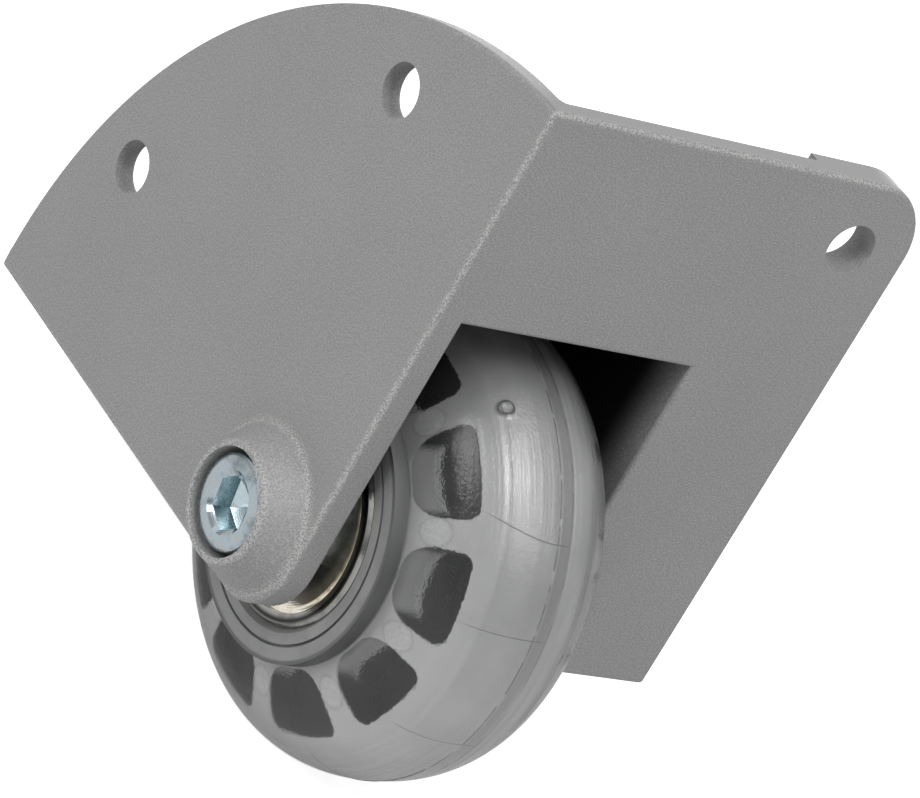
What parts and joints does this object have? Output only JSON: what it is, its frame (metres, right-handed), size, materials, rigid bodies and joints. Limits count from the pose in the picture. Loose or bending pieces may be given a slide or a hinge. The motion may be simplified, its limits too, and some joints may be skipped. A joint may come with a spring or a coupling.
{
  "type": "corner caster",
  "caption": "Cast corner bracket with a quarter-disc side plate and two flanges, whose ball-bearing wheel stands out of the edge of a cabinet or flight case.",
  "frame": {"origin": "the corner where the inner faces of the side plate and of the two flanges meet, which is the cabinet's own corner", "axes": "the cabinet fills -X, +Y and +Z; +Y runs along the wheel's axle, inwards from the side plate; +X points out of the rear flange and -Z out of the bottom flange"},
  "size_m": [0.076, 0.0532, 0.076],
  "materials": {
    "powder_coat": "fine-textured grey powder coat",
    "zinc": "bright zinc plate",
    "bearing_steel": "polished bearing steel",
    "nylon": "natural nylon",
    "hub_plastic": "moulded grey plastic",
    "tyre_urethane": "translucent grey cast urethane"
  },
  "bodies": {
    "bracket_body": {"bracket": "powder_coat", "axle_screw": "zinc", "lock_nut": "zinc", "nut_washer": "zinc", "nut_insert": "nylon", "axle_sleeve": "zinc", "near_spacer": "zinc", "bearing_spacer": "zinc", "far_spacer": "zinc", "near_inner_ring": "bearing_steel", "far_inner_ring": "bearing_steel"},
    "wheel": {"wheel_hub": "hub_plastic", "tyre": "tyre_urethane", "near_outer_ring": "bearing_steel", "near_outer_shield": "bearing_steel", "near_inner_shield": "bearing_steel", "far_outer_ring": "bearing_steel", "far_outer_shield": "bearing_steel", "far_inner_shield": "bearing_steel"},
    "near_ball_train": {"near_cage": "nylon", "near_balls": "bearing_steel"},
    "far_ball_train": {"far_cage": "nylon", "far_balls": "bearing_steel"}
  },
  "joints": [
    {"name": "wheel_spin", "type": "hinge", "parent": "bracket_body", "child": "wheel", "pos_m": [-0.0063, 0.01485, 0.0063], "axis": [0, 1, 0], "continuous": true},
    {"name": "near_ball_train_turn", "type": "hinge", "parent": "bracket_body", "child": "near_ball_train", "pos_m": [-0.0063, 0.01485, 0.0063], "axis": [0, 1, 0], "continuous": true},
    {"name": "far_ball_train_turn", "type": "hinge", "parent": "bracket_body", "child": "far_ball_train", "pos_m": [-0.0063, 0.01485, 0.0063], "axis": [0, 1, 0], "continuous": true}
  ],
  "couplings": [
    {"joint": "near_ball_train_turn", "follows": "wheel_spin", "ratio": 0.632},
    {"joint": "far_ball_train_turn", "follows": "wheel_spin", "ratio": 0.632}
  ]
}
